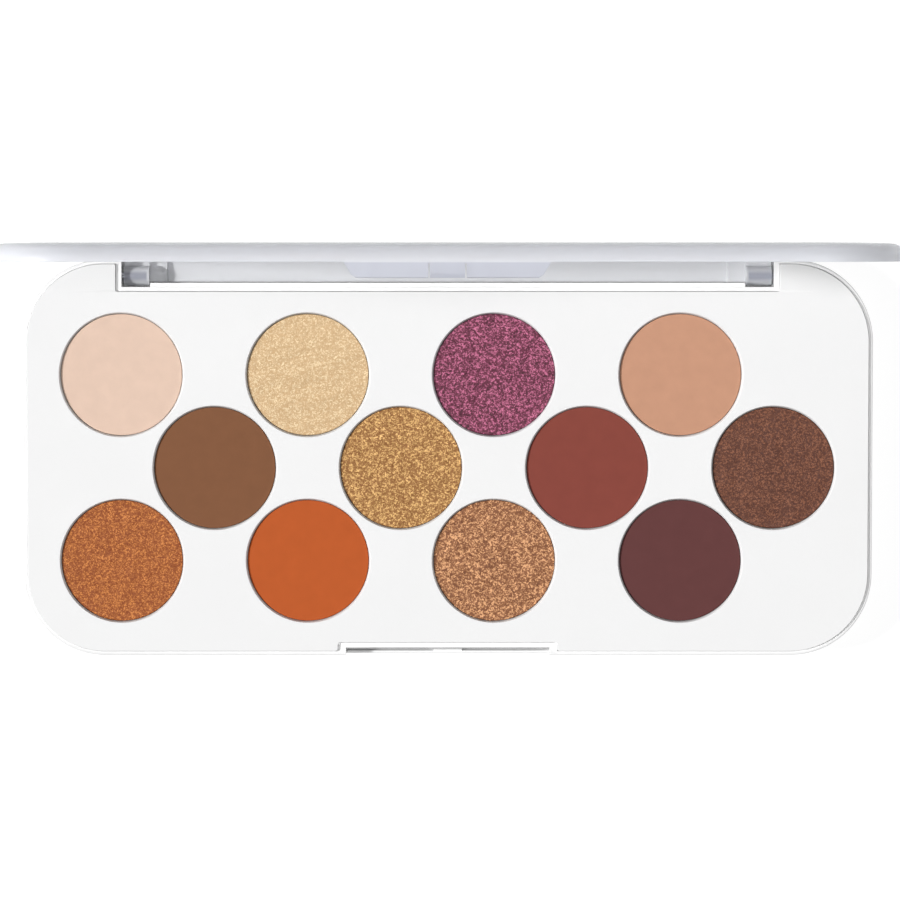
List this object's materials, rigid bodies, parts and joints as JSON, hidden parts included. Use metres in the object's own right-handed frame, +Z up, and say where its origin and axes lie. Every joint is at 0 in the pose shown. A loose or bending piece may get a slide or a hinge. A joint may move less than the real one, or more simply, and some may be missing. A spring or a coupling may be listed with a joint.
{
  "type": "eyeshadow palette",
  "caption": "Flat eyeshadow palette: white tray with round pressed-powder pans in staggered rows and a hinged frosted lid with a mirror and a snap latch.",
  "frame": {"origin": "centre of the base shell's flat underside", "axes": "+X along the palette's width, to the user's right, +Y from the latch to the hinge, +Z up out of the deck"},
  "size_m": [0.1816, 0.0884, 0.0869],
  "materials": {
    "shell_white": "moulded, smooth satin gloss",
    "deck_pale_grey": "moulded, fine satin",
    "lid_frosted": "translucent, lightly frosted",
    "mirror_silver": "silvered glass with ground edge",
    "adhesive": "double-sided adhesive",
    "pan_tinplate": "drawn tinplate",
    "pin_steel": "ground steel",
    "powder_pale_peach": "pressed powder, matte",
    "powder_pale_gold": "pressed powder, fine shimmer",
    "powder_berry": "pressed powder, coarse glitter",
    "powder_tan": "pressed powder, matte",
    "powder_brown": "pressed powder, matte",
    "powder_gold": "pressed powder, coarse glitter",
    "powder_brick_red": "pressed powder, matte",
    "powder_dark_brown": "pressed powder, satin shimmer",
    "powder_copper": "pressed powder, shimmer",
    "powder_orange": "pressed powder, matte",
    "powder_rose_gold": "pressed powder, coarse glitter",
    "powder_plum": "pressed powder, matte"
  },
  "bodies": {
    "base": {"base_shell": "shell_white", "deck_plate": "deck_pale_grey", "hinge_pin_left": "pin_steel", "hinge_pin_right": "pin_steel", "pan_pale_peach": "pan_tinplate", "pan_pale_gold": "pan_tinplate", "pan_berry": "pan_tinplate", "pan_tan": "pan_tinplate", "pan_brown": "pan_tinplate", "pan_gold": "pan_tinplate", "pan_brick_red": "pan_tinplate", "pan_dark_brown": "pan_tinplate", "pan_copper": "pan_tinplate", "pan_orange": "pan_tinplate", "pan_rose_gold": "pan_tinplate", "pan_plum": "pan_tinplate", "powder_pale_peach": "powder_pale_peach", "powder_pale_gold": "powder_pale_gold", "powder_berry": "powder_berry", "powder_tan": "powder_tan", "powder_brown": "powder_brown", "powder_gold": "powder_gold", "powder_brick_red": "powder_brick_red", "powder_dark_brown": "powder_dark_brown", "powder_copper": "powder_copper", "powder_orange": "powder_orange", "powder_rose_gold": "powder_rose_gold", "powder_plum": "powder_plum", "pan_glue_pale_peach": "adhesive", "pan_glue_pale_gold": "adhesive", "pan_glue_berry": "adhesive", "pan_glue_tan": "adhesive", "pan_glue_brown": "adhesive", "pan_glue_gold": "adhesive", "pan_glue_brick_red": "adhesive", "pan_glue_dark_brown": "adhesive", "pan_glue_copper": "adhesive", "pan_glue_orange": "adhesive", "pan_glue_rose_gold": "adhesive", "pan_glue_plum": "adhesive"},
    "lid": {"lid_shell": "lid_frosted", "mirror": "mirror_silver", "mirror_glue": "adhesive"}
  },
  "joints": [
    {"name": "lid_hinge", "type": "hinge", "parent": "base", "child": "lid", "pos_m": [0, 0.03896, 0.0056], "axis": [1, 0, 0], "range_deg": [0, 90]}
  ]
}
